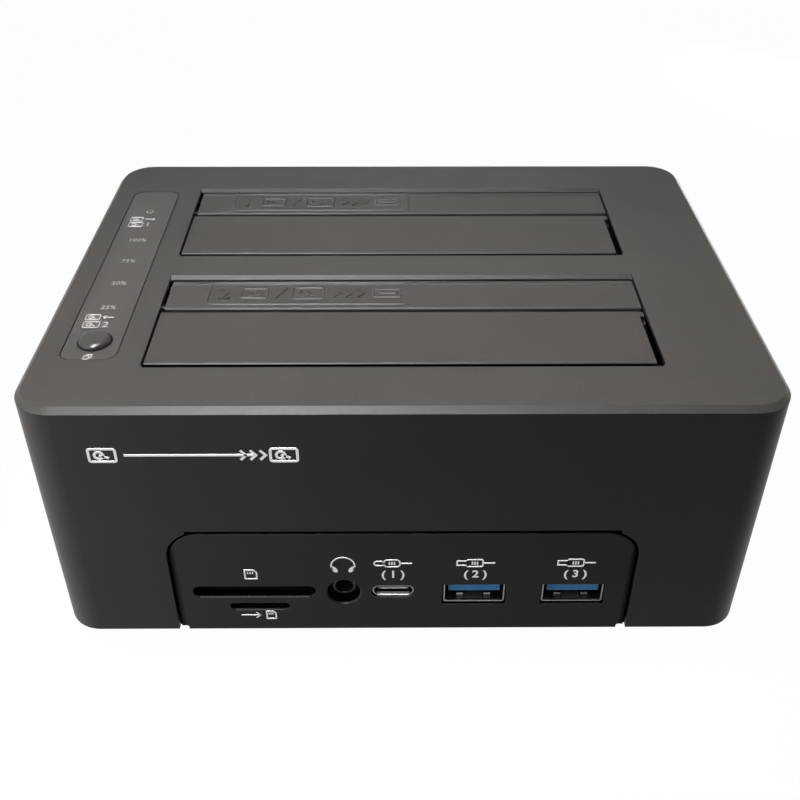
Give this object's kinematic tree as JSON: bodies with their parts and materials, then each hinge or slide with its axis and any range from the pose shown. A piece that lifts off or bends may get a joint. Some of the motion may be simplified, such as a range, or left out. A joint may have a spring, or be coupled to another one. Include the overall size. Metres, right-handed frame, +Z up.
{
  "type": "drive duplicator",
  "caption": "Desktop drive duplicator with sprung top flaps over upright drive wells, a status strip with a clone button, and front card, audio and data sockets",
  "frame": {"origin": "On the surface that the feet stand on, under the middle of the housing.", "axes": "X runs along the front from the status strip's side, +Y points from the socket face to the back, +Z is up."},
  "size_m": [0.15, 0.109, 0.0647],
  "materials": {
    "housing_plastic": "fine matt texture",
    "flap_plastic": "fine matt texture",
    "inner_plastic": "matt",
    "strip_plastic": "satin",
    "button_plastic": "satin",
    "foot_rubber": "matt",
    "hinge_steel": "bright",
    "socket_steel": "nickel plated",
    "blue_insulator": "moulded",
    "black_insulator": "moulded",
    "contact_metal": "plated",
    "circuit_board": "solder mask",
    "chip_resin": "moulded",
    "capacitor_can": "drawn can",
    "clear_plastic": "clear",
    "ribbon_jacket": "smooth"
  },
  "bodies": {
    "housing": {"audio_jack": "black_insulator", "bay_carrier": "inner_plastic", "bottom_cover": "inner_plastic", "button_switch": "black_insulator", "capacitors": "capacitor_can", "card_socket": "socket_steel", "case_screws": "hinge_steel", "chips": "chip_resin", "drive_contacts_front": "contact_metal", "drive_contacts_rear": "contact_metal", "drive_socket_front": "black_insulator", "drive_socket_rear": "black_insulator", "front_large_pin": "hinge_steel", "front_large_spring": "hinge_steel", "front_port_panel": "housing_plastic", "front_small_pin": "hinge_steel", "front_small_spring": "hinge_steel", "indicator_board": "circuit_board", "indicator_leds": "clear_plastic", "light_guide": "clear_plastic", "main_board": "circuit_board", "micro_card_socket": "socket_steel", "power_jack": "black_insulator", "power_jack_pin": "contact_metal", "rear_large_pin": "hinge_steel", "rear_large_spring": "hinge_steel", "rear_port_panel": "housing_plastic", "rear_small_pin": "hinge_steel", "rear_small_spring": "hinge_steel", "ribbon_cable": "ribbon_jacket", "ribbon_sockets": "black_insulator", "rubber_feet": "foot_rubber", "status_panel": "strip_plastic", "switch_frame": "black_insulator", "top_shell": "housing_plastic", "type_a_contacts": "contact_metal", "type_a_shell_left": "socket_steel", "type_a_shell_right": "socket_steel", "type_a_tongue_left": "blue_insulator", "type_a_tongue_right": "blue_insulator", "type_b_shell": "socket_steel", "type_b_tongue": "blue_insulator", "type_c_shell": "socket_steel", "type_c_tongue": "black_insulator"},
    "rear_small_flap_body": {"rear_small_flap": "flap_plastic"},
    "rear_large_flap_body": {"rear_large_flap": "flap_plastic"},
    "front_small_flap_body": {"front_small_flap": "flap_plastic"},
    "front_large_flap_body": {"front_large_flap": "flap_plastic"},
    "clone_button_body": {"clone_button": "button_plastic", "switch_plunger": "black_insulator"},
    "power_rocker_body": {"power_rocker": "black_insulator"}
  },
  "joints": [
    {"name": "rear_small_flap_hinge", "type": "hinge", "parent": "housing", "child": "rear_small_flap_body", "pos_m": [0, 0.0391, 0.0598], "axis": [1, 0, 0], "range_deg": [0, 88], "stiffness_Nm_per_rad": 0.004, "springref_deg": -28.65, "deforming": ["rear_small_spring"]},
    {"name": "rear_large_flap_hinge", "type": "hinge", "parent": "housing", "child": "rear_large_flap_body", "pos_m": [0, 0.0029, 0.0598], "axis": [-1, 0, 0], "range_deg": [0, 88], "stiffness_Nm_per_rad": 0.004, "springref_deg": -28.65, "deforming": ["rear_large_spring"]},
    {"name": "front_small_flap_hinge", "type": "hinge", "parent": "housing", "child": "front_small_flap_body", "pos_m": [0, -0.0051, 0.0598], "axis": [1, 0, 0], "range_deg": [0, 88], "stiffness_Nm_per_rad": 0.004, "springref_deg": -28.65, "deforming": ["front_small_spring"]},
    {"name": "front_large_flap_hinge", "type": "hinge", "parent": "housing", "child": "front_large_flap_body", "pos_m": [0, -0.0413, 0.0598], "axis": [-1, 0, 0], "range_deg": [0, 88], "stiffness_Nm_per_rad": 0.004, "springref_deg": -28.65, "deforming": ["front_large_spring"]},
    {"name": "clone_button_press", "type": "slide", "parent": "housing", "child": "clone_button_body", "axis": [0, 0, -1], "range_m": [0, 0.0006], "stiffness_N_per_m": 400, "springref_m": -0.001},
    {"name": "power_rocker_tilt", "type": "hinge", "parent": "housing", "child": "power_rocker_body", "pos_m": [-0.024, 0.0508, 0.013], "axis": [1, 0, 0], "range_deg": [0, 22]}
  ]
}
